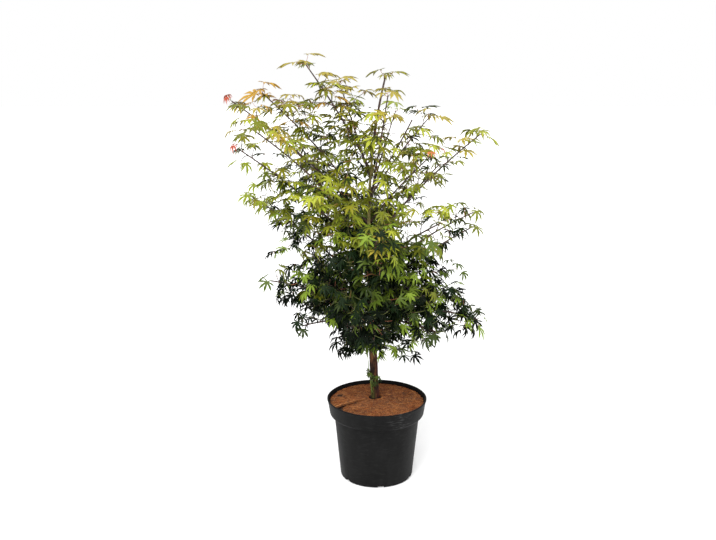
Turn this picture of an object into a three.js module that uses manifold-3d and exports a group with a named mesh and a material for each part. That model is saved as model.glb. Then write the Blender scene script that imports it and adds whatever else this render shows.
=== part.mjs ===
// A young Japanese maple, as a nursery sells it: one stem in a black plastic pot, with a disc of
// coir mulch on the growing mix. Every limb and every mass of leaves is a solid of its own.
// Millimetres, +Z up, origin at the centre of the pot's underside. The front of the plant is -Y.

import * as THREE from 'three';
import { mergeVertices } from 'three/addons/utils/BufferGeometryUtils.js';
import Module from 'manifold-3d';

const wasm = await Module();
wasm.setup();

// ---------------------------------------------------------------- driving dimensions

const CLEARANCE = 0.35;        // between two pieces that meet
const DEGREE = Math.PI / 180;

// the pot, a 10 litre nursery container
const POT_HEIGHT = 230;
const RIM_RADIUS = 140;
const SKIRT_DROP = 45;         // height of the deep band below the rim
const SKIRT_RADIUS = 132;      // outside, at the bottom of the band
const STEP_DROP = 7;           // height of the step from the band in to the body
const BODY_RADIUS = 119;       // outside, just below the step
const BASE_RADIUS = 102;
const BASE_CHAMFER = 5;
const POT_WALL = 2.5;
const POT_FLOOR = 4;
const LIP = 4;                 // width of the flat lip on the rim
const LIP_DEPTH = 3;
const POT_SIDES = 32;

// the drainage notches round the foot of the pot
const NOTCH_COUNT = 6;
const NOTCH_TURN = -24;        // degrees, of the first notch
const NOTCH_WIDTH = 18;
const NOTCH_HEIGHT = 9;
const NOTCH_DEPTH = 24;

// what the pot holds
const GROUND = 214;            // top of the growing mix, where the stem leaves it
const MULCH_THICKNESS = 10;
const MULCH_EDGE_GAP = 2;
const MULCH_DOME = 4;          // how far the disc rises to its middle
const DOME_HALFWAY = 0.7;      // the part of that rise which is reached halfway in
const MULCH_HOLE = 21;         // radius of the hole for the stem
const SLIT_WIDTH = 2.5;
const SLIT_TURN = 206;         // degrees, where the slit in the disc runs out to the rim
const MULCH_SIDES = 32;

// the stem: where it passes, and how thick it is there
const TRUNK_STATIONS = [
    { at: [-4, 20, GROUND - 10], radius: 18 },
    { at: [-5, 20, GROUND + 14], radius: 14 },
    { at: [-6, 19, GROUND + 40], radius: 12.5 },
    { at: [-9, 17, 320], radius: 12 },
    { at: [-13, 13, 400], radius: 11 },
    { at: [-19, 8, 520], radius: 9 },
    { at: [-23, 1, 660], radius: 7.5 },
    { at: [-23, -2, 800], radius: 5.5 },
    { at: [-14, 0, 930], radius: 4 },
    { at: [-5, 2, 1000], radius: 3 },
];
const TRUNK_SIDES = 9;
const TRUNK_STEPS = 16;
const HALVINGS = 24;           // rounds of the search for a height on the stem

// the boughs
const BOUGH_SIDES = 5;
const BOUGH_STEPS = 4;
const BOUGH_TAPER = 0.6;       // thickness at its end, as a part of that at the stem
const ARCH = 0.1;              // how far a bough bows upwards, as a part of its length
const ENTRY = 14;              // how far a bough reaches into its leaves

// the masses of leaves
const LEAF_SIDES = 9;
const LEAF_RINGS = 7;
const UNEVENNESS = 0.2;
const BUMPS = [2, 3, 5];       // how many bumps each wave has round a mass
const BUMP_TWIST = [1, 5];     // radians by which a wave turns along a mass, least and most
const LEAF_GAP = 0.7;          // how much a mass is grown before it cuts its neighbour

// Each shoot leaves the stem at the height `from` and points `turn` degrees round it (0 is the
// right, 90 the back, 180 the left). Its leaves reach out to `reach` from the stem, at the height
// `top`. The leaves start at the part `bare` of its length, and the mass is `girth` thick at most.
const SHOOTS = [
    // the tip of the crown
    { name: 'top_left', from: 870, turn: 194, reach: 192, top: 1182, bare: 0.20, girth: 92, thick: 6.5 },
    { name: 'top_back', from: 845, turn: 142, reach: 116, top: 1128, bare: 0.18, girth: 104, thick: 6.5 },
    { name: 'top_front', from: 755, turn: 296, reach: 116, top: 1110, bare: 0.16, girth: 112, thick: 6.5 },
    { name: 'top_right', from: 795, turn: 9, reach: 182, top: 1038, bare: 0.24, girth: 100, thick: 6 },
    { name: 'top_back_right', from: 780, turn: 62, reach: 178, top: 1046, bare: 0.22, girth: 116, thick: 6 },
    { name: 'top_front_right', from: 725, turn: 328, reach: 212, top: 952, bare: 0.28, girth: 108, thick: 6 },

    // the long shoots of the upper crown
    { name: 'high_left', from: 760, turn: 172, reach: 310, top: 1098, bare: 0.32, girth: 98, thick: 6.5 },
    { name: 'far_left', from: 725, turn: 184, reach: 384, top: 1080, bare: 0.40, girth: 92, thick: 7 },
    { name: 'near_left', from: 690, turn: 200, reach: 338, top: 1014, bare: 0.38, girth: 98, thick: 7 },
    { name: 'out_left', from: 625, turn: 182, reach: 372, top: 952, bare: 0.38, girth: 104, thick: 7 },
    { name: 'back_left', from: 690, turn: 140, reach: 308, top: 926, bare: 0.30, girth: 140, thick: 7 },
    { name: 'far_right', from: 665, turn: 357, reach: 320, top: 998, bare: 0.40, girth: 92, thick: 7 },
    { name: 'back_right', from: 640, turn: 46, reach: 318, top: 876, bare: 0.30, girth: 150, thick: 7.5 },

    // the shoots of the middle
    { name: 'front_left', from: 630, turn: 232, reach: 288, top: 846, bare: 0.24, girth: 156, thick: 7 },
    { name: 'front_right', from: 590, turn: 314, reach: 284, top: 786, bare: 0.26, girth: 155, thick: 7.5 },
    { name: 'mid_right', from: 570, turn: 350, reach: 306, top: 786, bare: 0.42, girth: 92, thick: 7 },
    { name: 'low_right', from: 515, turn: 15, reach: 318, top: 716, bare: 0.34, girth: 122, thick: 7.5 },
    { name: 'back', from: 550, turn: 92, reach: 318, top: 750, bare: 0.26, girth: 180, thick: 8 },
    { name: 'low_left', from: 530, turn: 176, reach: 350, top: 818, bare: 0.32, girth: 112, thick: 7.5 },
    { name: 'front', from: 560, turn: 273, reach: 286, top: 756, bare: 0.20, girth: 190, thick: 8 },

    // the dense lobes round the foot of the crown
    { name: 'waist_left', from: 480, turn: 190, reach: 308, top: 590, bare: 0.22, girth: 165, thick: 8 },
    { name: 'skirt_left', from: 450, turn: 216, reach: 262, top: 482, bare: 0.22, girth: 140, thick: 8 },
    { name: 'skirt_front', from: 465, turn: 264, reach: 270, top: 520, bare: 0.20, girth: 185, thick: 8 },
    { name: 'skirt_front_right', from: 455, turn: 310, reach: 290, top: 484, bare: 0.22, girth: 160, thick: 8 },
    { name: 'skirt_right', from: 470, turn: 1, reach: 330, top: 484, bare: 0.22, girth: 156, thick: 8.5 },
    { name: 'skirt_back_right', from: 445, turn: 56, reach: 294, top: 480, bare: 0.22, girth: 176, thick: 8 },
    { name: 'skirt_back_left', from: 450, turn: 128, reach: 294, top: 486, bare: 0.22, girth: 176, thick: 8 },
];

// the stem's own tip, which ends in leaves as a shoot does
const LEADER = { name: 'leader', tip: [18, 0, 1152], from: 965, girth: 84 };

// one shoot that was cut back and ends bare
const PRUNED = { name: 'pruned', from: 812, turn: 353, reach: 112, top: 1010, thick: 5.5 };

// ---------------------------------------------------------------- solids and meshes

function toSolid(geometry) {
    geometry.deleteAttribute('normal');
    geometry.deleteAttribute('uv');
    const merged = mergeVertices(geometry);
    return new wasm.Manifold(new wasm.Mesh({
        numProp: 3,
        vertProperties: new Float32Array(merged.attributes.position.array),
        triVerts: new Uint32Array(merged.index.array),
    }));
}

function toGeometry(solid) {
    const mesh = solid.getMesh();
    const geometry = new THREE.BufferGeometry();
    geometry.setAttribute('position', new THREE.BufferAttribute(mesh.vertProperties, 3));
    geometry.setIndex(new THREE.BufferAttribute(mesh.triVerts, 1));
    return geometry;
}

// What is left of a solid after cuts can include crumbs: the piece proper is the biggest.
function biggestPiece(solid) {
    const pieces = solid.decompose();
    return pieces.reduce((best, piece) => (piece.volume() > best.volume() ? piece : best));
}

function cutAway(solid, cutters) {
    const rest = cutters.reduce((left, cutter) => left.subtract(cutter), solid);
    return biggestPiece(rest);
}

function material(colour, roughness) {
    return new THREE.MeshStandardMaterial({ color: colour, roughness, metalness: 0 });
}

function named(name, solid, finish) {
    const mesh = new THREE.Mesh(toGeometry(solid), finish);
    mesh.name = name;
    return mesh;
}

// A closed profile of [radius, height] pairs, turned about the upright axis.
function turned(profile, sides) {
    const points = profile.map(([radius, height]) => new THREE.Vector2(radius, height));
    const geometry = new THREE.LatheGeometry(points, sides);
    geometry.rotateX(Math.PI / 2);
    return toSolid(geometry);
}

function block(size, place, turn) {
    const geometry = new THREE.BoxGeometry(...size);
    geometry.translate(...place);
    geometry.rotateZ(turn * DEGREE);
    return toSolid(geometry);
}

// A repeatable stream of numbers from 0 to 1.
function numbersFrom(seed) {
    const span = 2 ** 32;
    const factor = 1664525;
    const step = 1013904223;
    let state = seed;
    return () => {
        state = (state * factor + step) % span;
        return state / span;
    };
}

// ---------------------------------------------------------------- pot, mix and mulch

function pot() {
    const stepTop = POT_HEIGHT - SKIRT_DROP;
    const bodyTop = stepTop - STEP_DROP;
    const shell = turned([
        [0, 0],
        [BASE_RADIUS - BASE_CHAMFER, 0],
        [BASE_RADIUS, BASE_CHAMFER],
        [BODY_RADIUS, bodyTop],
        [SKIRT_RADIUS, stepTop],
        [RIM_RADIUS, POT_HEIGHT - LIP_DEPTH],
        [RIM_RADIUS, POT_HEIGHT],
        [RIM_RADIUS - LIP, POT_HEIGHT],
        [SKIRT_RADIUS - POT_WALL, stepTop + POT_WALL],
        [BODY_RADIUS - POT_WALL, bodyTop],
        [BASE_RADIUS - POT_WALL, POT_FLOOR],
        [0, POT_FLOOR],
    ], POT_SIDES);
    const notches = [];
    for (let index = 0; index < NOTCH_COUNT; index += 1) {
        const size = [NOTCH_DEPTH, NOTCH_WIDTH, NOTCH_HEIGHT * 2];
        notches.push(block(size, [BASE_RADIUS, 0, 0], NOTCH_TURN + index * 360 / NOTCH_COUNT));
    }
    return cutAway(shell, notches);
}

// The radius of the pot's inner wall at a height in its band.
function innerRadius(height) {
    const bandBottom = POT_HEIGHT - SKIRT_DROP + POT_WALL;
    const share = (height - bandBottom) / (POT_HEIGHT - bandBottom);
    return THREE.MathUtils.lerp(SKIRT_RADIUS - POT_WALL, RIM_RADIUS - LIP, share);
}

function growingMix() {
    const stepTop = POT_HEIGHT - SKIRT_DROP;
    const bodyTop = stepTop - STEP_DROP;
    const gap = POT_WALL + CLEARANCE * 2;
    return turned([
        [0, POT_FLOOR + CLEARANCE],
        [BASE_RADIUS - gap, POT_FLOOR + CLEARANCE],
        [BODY_RADIUS - gap, bodyTop],
        [SKIRT_RADIUS - gap, stepTop + POT_WALL],
        [innerRadius(GROUND) - CLEARANCE * 2, GROUND],
        [0, GROUND],
    ], POT_SIDES);
}

function mulchDisc() {
    const bottom = GROUND + CLEARANCE;
    const rim = bottom + MULCH_THICKNESS - MULCH_DOME;
    const edge = innerRadius(bottom) - MULCH_EDGE_GAP;
    const disc = turned([
        [0, bottom],
        [edge, bottom],
        [edge, rim],
        [edge / 2, rim + MULCH_DOME * DOME_HALFWAY],
        [0, rim + MULCH_DOME],
    ], MULCH_SIDES);
    const [x, y] = TRUNK_STATIONS[0].at;
    const hole = turned([[0, 0], [MULCH_HOLE, 0], [MULCH_HOLE, POT_HEIGHT], [0, POT_HEIGHT]], TRUNK_SIDES);
    const slitLength = edge * 2;
    const slit = block([slitLength, SLIT_WIDTH, POT_HEIGHT], [slitLength / 2, 0, rim], SLIT_TURN);
    return cutAway(disc, [hole.translate([x, y, 0]), slit.translate([x, y, 0])]);
}

// ---------------------------------------------------------------- limbs

// A round limb along a curve, `radiusAt(t)` thick, with `spare` added to its skin.
function limb(curve, radiusAt, sides, steps, spare = 0) {
    const geometry = new THREE.CylinderGeometry(1, 1, 1, sides, steps);
    geometry.rotateX(Math.PI / 2);
    const frames = curve.computeFrenetFrames(steps);
    const position = geometry.attributes.position;
    for (let index = 0; index < position.count; index += 1) {
        const t = position.getZ(index) + 0.5;
        const step = Math.round(t * steps);
        const radius = radiusAt(t) + spare;
        const point = curve.getPointAt(t)
            .addScaledVector(frames.normals[step], position.getX(index) * radius)
            .addScaledVector(frames.binormals[step], position.getY(index) * radius);
        position.setXYZ(index, point.x, point.y, point.z);
    }
    return toSolid(geometry);
}

const trunkCurve = new THREE.CatmullRomCurve3(
    TRUNK_STATIONS.map((station) => new THREE.Vector3(...station.at)),
);

// The stem's thickness follows its stations by height.
function trunkRadius(height) {
    const above = TRUNK_STATIONS.findIndex((station) => station.at[2] >= height);
    if (above <= 0) {
        return above === 0 ? TRUNK_STATIONS[0].radius : TRUNK_STATIONS.at(-1).radius;
    }
    const low = TRUNK_STATIONS[above - 1];
    const high = TRUNK_STATIONS[above];
    const share = (height - low.at[2]) / (high.at[2] - low.at[2]);
    return THREE.MathUtils.lerp(low.radius, high.radius, share);
}

// Where the stem's middle is at a height, found by halving.
function trunkAt(height) {
    let low = 0;
    let high = 1;
    for (let round = 0; round < HALVINGS; round += 1) {
        const middle = (low + high) / 2;
        if (trunkCurve.getPointAt(middle).z < height) {
            low = middle;
        } else {
            high = middle;
        }
    }
    return trunkCurve.getPointAt(low);
}

function trunk(spare = 0) {
    const radiusAt = (t) => trunkRadius(trunkCurve.getPointAt(t).z);
    const whole = limb(trunkCurve, radiusAt, TRUNK_SIDES, TRUNK_STEPS, spare);
    const foot = GROUND + CLEARANCE - spare;
    const below = block([POT_HEIGHT, POT_HEIGHT, foot], [0, 0, foot / 2], 0);
    return cutAway(whole, [below]);
}

// The line of a whole shoot, from the middle of the stem to the tip of its last leaf.
function shootCurve({ from, turn, reach, top }) {
    const start = trunkAt(from);
    const away = new THREE.Vector3(Math.cos(turn * DEGREE), Math.sin(turn * DEGREE), 0);
    const end = start.clone().addScaledVector(away, reach).setZ(top);
    const middle = start.clone().add(end).multiplyScalar(0.5);
    middle.z += start.distanceTo(end) * ARCH;
    return new THREE.QuadraticBezierCurve3(start, middle, end);
}

// The part of a curve between two of its shares of length.
function stretch(curve, low, high) {
    const points = [];
    for (let index = 0; index <= BOUGH_STEPS; index += 1) {
        points.push(curve.getPointAt(THREE.MathUtils.lerp(low, high, index / BOUGH_STEPS)));
    }
    return new THREE.CatmullRomCurve3(points);
}

function bough(shoot, spare = 0) {
    const curve = shootCurve(shoot);
    const end = shoot.bare ? shoot.bare + ENTRY / curve.getLength() : 1;
    const radiusAt = (t) => shoot.thick / 2 * THREE.MathUtils.lerp(1, BOUGH_TAPER, t);
    return limb(stretch(curve, 0, end), radiusAt, BOUGH_SIDES, BOUGH_STEPS, spare);
}

// ---------------------------------------------------------------- masses of leaves

// A closed, uneven body round a curve, full in its middle and pointed at its far end. `spare` is
// added all round, and the seed settles its bumps.
function mass(curve, girth, seed, spare = 0) {
    const next = numbersFrom(seed);
    const waves = BUMPS.map((count) => ({
        count,
        phase: next() * 2 * Math.PI,
        twist: THREE.MathUtils.lerp(...BUMP_TWIST, next()),
    }));
    const geometry = new THREE.SphereGeometry(1, LEAF_SIDES, LEAF_RINGS);
    geometry.rotateX(Math.PI / 2);
    const position = geometry.attributes.position;
    const side = new THREE.Vector3();
    const up = new THREE.Vector3();
    for (let index = 0; index < position.count; index += 1) {
        const unit = new THREE.Vector3().fromBufferAttribute(position, index);
        const t = (1 + unit.z) / 2;
        const along = curve.getTangentAt(t);
        side.set(-along.y, along.x, 0).normalize();
        up.crossVectors(along, side);
        const angle = Math.atan2(unit.y, unit.x);
        const bumps = waves.reduce(
            (sum, wave) => sum + Math.sin(wave.count * angle + wave.twist * t + wave.phase), 0);
        const radius = girth / 2 * (1 + UNEVENNESS * bumps / waves.length) + spare;
        const point = curve.getPointAt(t)
            .addScaledVector(side, unit.x * radius)
            .addScaledVector(up, unit.y * radius)
            .addScaledVector(along, unit.z * spare);
        position.setXYZ(index, point.x, point.y, point.z);
    }
    return toSolid(geometry);
}

function shootLeaves(shoot, seed, spare = 0) {
    return mass(stretch(shootCurve(shoot), shoot.bare, 1), shoot.girth, seed, spare);
}

function leaderLeaves(seed, spare = 0) {
    const foot = trunkAt(LEADER.from);
    const tip = new THREE.Vector3(...LEADER.tip);
    const middle = foot.clone().lerp(tip, 0.5);
    return mass(new THREE.QuadraticBezierCurve3(foot, middle, tip), LEADER.girth, seed, spare);
}

// ---------------------------------------------------------------- the whole plant

const plastic = material(0x262626, 0.6);
const earth = material(0x2b1d14, 0.95);
const coir = material(0xa5552d, 0.95);
const bark = material(0x6b5638, 0.8);
const twigBark = material(0x5a3b32, 0.7);
const greenLeaf = material(0x6f8f2a, 0.6);

const plant = new THREE.Group();
plant.add(named('pot', pot(), plastic));
plant.add(named('growing_mix', growingMix(), earth));
plant.add(named('mulch_disc', mulchDisc(), coir));
plant.add(named('trunk', trunk(), bark));

const wideTrunk = trunk(CLEARANCE);
const limbs = [...SHOOTS, PRUNED];
const wideBoughs = [];
limbs.forEach((shoot) => {
    plant.add(named(`bough_${shoot.name}`, cutAway(bough(shoot), [wideTrunk, ...wideBoughs]), twigBark));
    wideBoughs.push(bough(shoot, CLEARANCE));
});

const wideLeaves = [];
const addLeaves = (name, body, wideBody) => {
    const cutters = [wideTrunk, ...wideBoughs, ...wideLeaves];
    plant.add(named(`leaves_${name}`, cutAway(body, cutters), greenLeaf));
    wideLeaves.push(wideBody);
};
addLeaves(LEADER.name, leaderLeaves(1), leaderLeaves(1, LEAF_GAP));
SHOOTS.forEach((shoot, index) => {
    const seed = index + 2;
    addLeaves(shoot.name, shootLeaves(shoot, seed), shootLeaves(shoot, seed, LEAF_GAP));
});

export default plant;
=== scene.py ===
"""The looks of a young Japanese maple in a nursery pot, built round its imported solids, in metres.

Each shoot is traced from its bough's solid to the tip of its mass of leaves. A seeded rule then
grows twigs, stalks and leaves along it, and keeps them inside the masses. The bark, pot, coir disc
and soil follow the solids' own sizes.
"""

import math
import random

import bmesh
import bpy
import numpy as np
from mathutils import Matrix, Quaternion, Vector, noise
from mathutils.bvhtree import BVHTree


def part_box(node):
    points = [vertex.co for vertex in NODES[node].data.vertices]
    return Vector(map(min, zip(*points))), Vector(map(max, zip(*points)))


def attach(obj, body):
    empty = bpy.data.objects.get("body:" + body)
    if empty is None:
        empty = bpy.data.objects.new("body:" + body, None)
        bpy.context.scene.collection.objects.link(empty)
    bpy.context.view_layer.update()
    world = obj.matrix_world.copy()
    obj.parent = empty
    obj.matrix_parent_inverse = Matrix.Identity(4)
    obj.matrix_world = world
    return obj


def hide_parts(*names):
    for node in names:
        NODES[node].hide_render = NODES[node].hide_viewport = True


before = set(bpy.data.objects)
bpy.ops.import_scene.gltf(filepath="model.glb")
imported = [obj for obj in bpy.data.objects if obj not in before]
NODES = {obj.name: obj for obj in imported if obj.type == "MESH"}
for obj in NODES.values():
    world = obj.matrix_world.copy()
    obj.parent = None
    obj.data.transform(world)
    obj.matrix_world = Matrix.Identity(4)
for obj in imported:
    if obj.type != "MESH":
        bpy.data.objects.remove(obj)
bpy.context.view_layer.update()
BODY = "root"
UP = Vector((0, 0, 1))
NEAR = 0.00001      # places this close together are one place

BOUGHS = sorted(name for name in NODES if name.startswith("bough_"))
MASSES = sorted(name for name in NODES if name.startswith("leaves_"))
LEADER = "leader"
PRUNED = "pruned"
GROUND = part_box("growing_mix")[1].z
DISC_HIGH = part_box("mulch_disc")[1]
PUNCHED = Vector((-0.104, 0.0306))          # a small hole in the coir disc
RUBBED = (0.060, -0.116, 0.203)             # where the pot's skirt is most scuffed
EYE = Vector((-0.0531, -2.6, 1.265))        # the camera's place
LOOK_DOWN = math.radians(14.34)
LENS = 49.43                                # millimetres


# ------------------------------------------------------------------ finishes

def srgb(red, green, blue):
    """The linear colour of three 8-bit numbers."""
    shares = [value / 255 for value in (red, green, blue)]
    return (*[s / 12.92 if s <= 0.04045 else ((s + 0.055) / 1.055) ** 2.4 for s in shares], 1.0)


def grey(value):
    return (value, value, value, 1.0)


class Wire:
    """An output in a finish's node tree. Arithmetic on it adds Math nodes."""

    def __init__(self, finish, socket):
        self.finish = finish
        self.socket = socket

    def math(self, operation, first, second):
        return self.finish.node("ShaderNodeMath", {"operation": operation}, {0: first, 1: second})

    def __add__(self, other):
        return self.math("ADD", self, other)

    def __sub__(self, other):
        return self.math("SUBTRACT", self, other)

    def __rsub__(self, other):
        return self.math("SUBTRACT", other, self)

    def __mul__(self, other):
        return self.math("MULTIPLY", self, other)

    __radd__ = __add__
    __rmul__ = __mul__


class Finish:
    """A material with one Principled surface."""

    def __init__(self, name):
        self.material = bpy.data.materials.new(name)
        self.material.use_nodes = True
        self.tree = self.material.node_tree
        self.surface = self.tree.nodes["Principled BSDF"]

    def feed(self, socket, value):
        if isinstance(value, Wire):
            self.tree.links.new(value.socket, socket)
        else:
            socket.default_value = value

    def set(self, **sockets):
        """Feeds the surface's sockets, whose names are given with underscores."""
        for name, value in sockets.items():
            self.feed(self.surface.inputs[name.replace("_", " ")], value)
        return self.material

    def node(self, kind, settings, inputs, output=0):
        made = self.tree.nodes.new(kind)
        for key, value in settings.items():
            if key == "stops":
                self.set_stops(made.color_ramp, value)
            else:
                setattr(made, key, value)
        for key, value in inputs.items():
            self.feed(made.inputs[key], value)
        return Wire(self, made.outputs[output])

    @staticmethod
    def set_stops(ramp, stops):
        while len(ramp.elements) < len(stops):
            ramp.elements.new(1.0)
        for element, (place, colour) in zip(ramp.elements, stops):
            element.position = place
            element.color = colour

    def place(self, scale=(1, 1, 1)):
        """Object coordinates, stretched by a scale."""
        at = self.node("ShaderNodeTexCoord", {}, {}, "Object")
        return self.node("ShaderNodeMapping", {}, {"Vector": at, "Scale": scale})

    def along(self, axis):
        return self.node("ShaderNodeSeparateXYZ", {}, {0: self.place()}, axis)

    def away_from(self, spot):
        """The distance from a spot."""
        sockets = {0: self.place(), 1: spot}
        return self.node("ShaderNodeVectorMath", {"operation": "DISTANCE"}, sockets, "Value")

    def noise(self, scale, detail=3.0, roughness=0.55, stretch=(1, 1, 1)):
        place = self.place(stretch)
        sockets = {"Vector": place, "Scale": scale, "Detail": detail, "Roughness": roughness}
        return self.node("ShaderNodeTexNoise", {}, sockets)

    def ramp(self, factor, *stops):
        return self.node("ShaderNodeValToRGB", {"stops": stops}, {"Fac": factor})

    def fade(self, factor, start, end, first=0.0, last=1.0):
        """A grey that goes from its first value to its last between two values of a factor."""
        return self.ramp(factor, (start, grey(first)), (end, grey(last)))

    def mix(self, factor, first, second):
        """A blend of two colours."""
        sockets = {0: factor, 6: first, 7: second}
        return self.node("ShaderNodeMix", {"data_type": "RGBA"}, sockets, 2)

    def bump(self, height, strength, distance):
        sockets = {"Height": height, "Strength": strength, "Distance": distance}
        return self.node("ShaderNodeBump", {}, sockets)


def plastic_finish():
    """Matt black moulded plastic with a little dust and rubbing."""
    finish = Finish("black_plastic")
    cloud = finish.noise(14.0, 4.0)
    streak = finish.noise(60.0, 3.0, stretch=(1, 1, 0.12))
    grain = finish.noise(900.0, 2.0)
    plain = finish.fade(cloud * 0.6 + streak * 0.4, 0.35, 0.7, 0.003, 0.008)
    rubs = finish.noise(170.0, 3.0, 0.6, stretch=(0.3, 0.3, 2.0))
    marks = finish.fade(rubs, 0.52, 0.66)
    rubbed = finish.fade(finish.away_from(RUBBED) * 10, 0.20, 0.42, 0.5, 0.06)
    return finish.set(
        Base_Color=finish.mix(marks * rubbed, plain, grey(0.075)),
        Roughness=0.42 + cloud * 0.25,
        Specular_IOR_Level=0.07,
        Normal=finish.bump(grain * 0.5 + streak * 0.5, 0.25, 0.0006),
    )


def coir_finish():
    """Pressed coconut fibre with orange patches, dark partly by its own tone and partly by painted shade in
    its hollows.
    """
    finish = Finish("coir")
    fibre = finish.noise(420.0, 4.0, 0.7)
    clump = finish.noise(110.0, 3.0, 0.6)
    patch = finish.noise(20.0, 3.0)
    tone = fibre * 0.5 + clump * 0.3 + patch * 0.2
    # The dark end of these ramps falls where the bump is low: partly the fibre's own tone, partly painted
    # shade in the hollows.
    dark, middling, pale = srgb(38, 20, 9), srgb(102, 60, 30), srgb(148, 94, 50)
    brown = finish.ramp(tone, (0.34, dark), (0.48, middling), (0.64, pale))
    orange = finish.ramp(tone, (0.34, srgb(84, 38, 10)), (0.64, srgb(166, 92, 34)))
    fibres = finish.mix(finish.fade(patch, 0.5, 0.68, 0.0, 0.7), brown, orange)
    # The punched hole is painted dark: partly the soil that shows through it, partly painted shade in it.
    hole = (*PUNCHED, DISC_HIGH.z - 0.004)
    hole_soil_and_shade = finish.fade(finish.away_from(hole) * 100, 0.74, 0.98, 1.0, 0.0)
    return finish.set(
        Base_Color=finish.mix(hole_soil_and_shade, fibres, srgb(20, 12, 7)),
        Roughness=0.95,
        Normal=finish.bump(fibre * 0.6 + clump * 0.4, 0.8, 0.002),
    )


def grit_finish():
    """Pale grey bits of grit in the growing mix."""
    finish = Finish("grit")
    patch = finish.noise(500.0, 2.0)
    colour = finish.ramp(patch, (0.3, srgb(84, 74, 62)), (0.7, srgb(168, 156, 138)))
    return finish.set(Base_Color=colour, Roughness=0.9)


def bark_finish():
    """Mottled bark: green on one side of the foot and maroon on the other, olive and tan above. The maroon
    side, away from the key light, is partly a reddish bark and partly painted shade.
    """
    finish = Finish("bark")
    low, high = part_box("trunk")
    height = finish.along("Z")
    rise = (height - low.z) * (1 / (high.z - low.z))
    (foot, _), (upper, _) = TRUNK[0], TRUNK[4]
    lean = (upper.x - foot.x) / (upper.z - foot.z)
    aside = finish.along("X") - height * lean - (foot.x - foot.z * lean)
    blotch = finish.noise(64.0, 3.0, 0.6, stretch=(1, 1, 0.45))
    speck = finish.noise(130.0, 4.0, 0.6, stretch=(1, 1, 0.5))
    crack = finish.noise(150.0, 4.0, 0.7, stretch=(1, 1, 0.14))
    dark, brown, light = srgb(32, 17, 9), srgb(82, 50, 30), srgb(112, 76, 44)
    tan = finish.ramp(blotch, (0.40, dark), (0.49, brown), (0.60, light))
    green = finish.ramp(speck, (0.42, srgb(20, 20, 6)), (0.60, srgb(92, 88, 40)))
    # Maroon for the trunk's right side, away from the key light: partly a reddish bark, partly painted
    # shade.
    maroon = finish.ramp(speck, (0.40, srgb(34, 11, 9)), (0.62, srgb(84, 40, 30)))
    on_left = finish.fade(aside * -30.0 + blotch * 0.8 - height * 4 + 0.92, 0.25, 0.5)
    shaded_right_side = finish.fade(aside * 60.0 + blotch * 0.6 + 0.02, 0.55, 0.8)
    below = finish.mix(on_left, finish.mix(shaded_right_side, tan, maroon), green)
    above = finish.ramp(blotch, (0.36, srgb(92, 84, 46)), (0.62, srgb(158, 148, 92)))
    cracked = finish.mix(finish.fade(crack, 0.50, 0.62, 0.0, 0.9), below, srgb(28, 17, 11))
    upward = finish.fade(rise + blotch * 0.2 - 0.1, 0.26, 0.5)
    # Darker in the stem's last centimetre or so above the growing mix, down in its hole in the disc.
    darker_at_foot = finish.fade(height * 50 - GROUND * 50 + blotch * 0.8, 0.7, 1.0, 1.0, 0.0)
    return finish.set(
        Base_Color=finish.mix(darker_at_foot, finish.mix(upward, cracked, above), srgb(24, 15, 10)),
        Roughness=0.8,
        Specular_IOR_Level=0.2,
        Normal=finish.bump(crack * 0.6 + speck * 0.4, 0.6, 0.0015),
    )


def mottled_finish(name, noise_settings, low, high, roughness, bump):
    """A finish of two colours, each with the noise's value where it is pure, and a bump to match."""
    finish = Finish(name)
    patch = finish.noise(*noise_settings)
    return finish.set(
        Base_Color=finish.ramp(patch, low, high),
        Roughness=roughness,
        Normal=finish.bump(patch, *bump),
    )


def soil_finish():
    """Dark peaty growing mix."""
    dark, light = (0.35, srgb(12, 8, 6)), (0.7, srgb(40, 28, 20))
    return mottled_finish("soil", (260.0, 5.0, 0.7), dark, light, 0.95, (0.9, 0.003))


def shoot_finish():
    """Thin dark skin on the long shoots and twigs."""
    dark, light = (0.35, srgb(40, 27, 25)), (0.68, srgb(82, 56, 45))
    return mottled_finish("shoot_skin", (60.0, 3.0), dark, light, 0.5, (0.3, 0.0006))


def sucker_finish():
    """Thin green skin on young growth."""
    dark, light = (0.35, srgb(74, 96, 34)), (0.68, srgb(128, 142, 62))
    return mottled_finish("green_skin", (160.0, 3.0), dark, light, 0.5, (0.3, 0.0004))


def plain_finish(name, colour, roughness, gloss=0.5):
    return Finish(name).set(Base_Color=colour, Roughness=roughness, Specular_IOR_Level=gloss)


# ------------------------------------------------------------------ pieces from meshes and lines

def piece(name, mesh, material, replaced=()):
    """A finished piece that rides with the plant and its pot."""
    made = bpy.data.objects.new(name, mesh)
    bpy.context.scene.collection.objects.link(made)
    mesh.materials.clear()
    mesh.materials.append(material)
    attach(made, BODY)
    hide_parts(*replaced)
    return made


def mesh_of_triangles(name, corners, faces):
    """A mesh from arrays of places and of corner numbers, three to a face, one for each part."""
    places, faces = np.concatenate(corners), np.concatenate(faces)
    mesh = bpy.data.meshes.new(name)
    mesh.vertices.add(len(places))
    mesh.vertices.foreach_set("co", places.astype(np.float32).ravel())
    mesh.loops.add(faces.size)
    mesh.loops.foreach_set("vertex_index", faces.astype(np.int32).ravel())
    mesh.polygons.add(len(faces))
    mesh.polygons.foreach_set("loop_start", np.arange(0, faces.size, 3, dtype=np.int32))
    mesh.update(calc_edges=True)
    mesh.validate()
    return mesh


def mesh_of_bmesh(name, work, smooth_angle=None):
    """Ends work on a bmesh. Edges sharper than the angle stay crisp."""
    mesh = bpy.data.meshes.new(name)
    work.to_mesh(mesh)
    work.free()
    if smooth_angle is not None:
        mesh.shade_smooth()
        mesh.set_sharp_from_angle(angle=smooth_angle)
    return mesh


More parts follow.
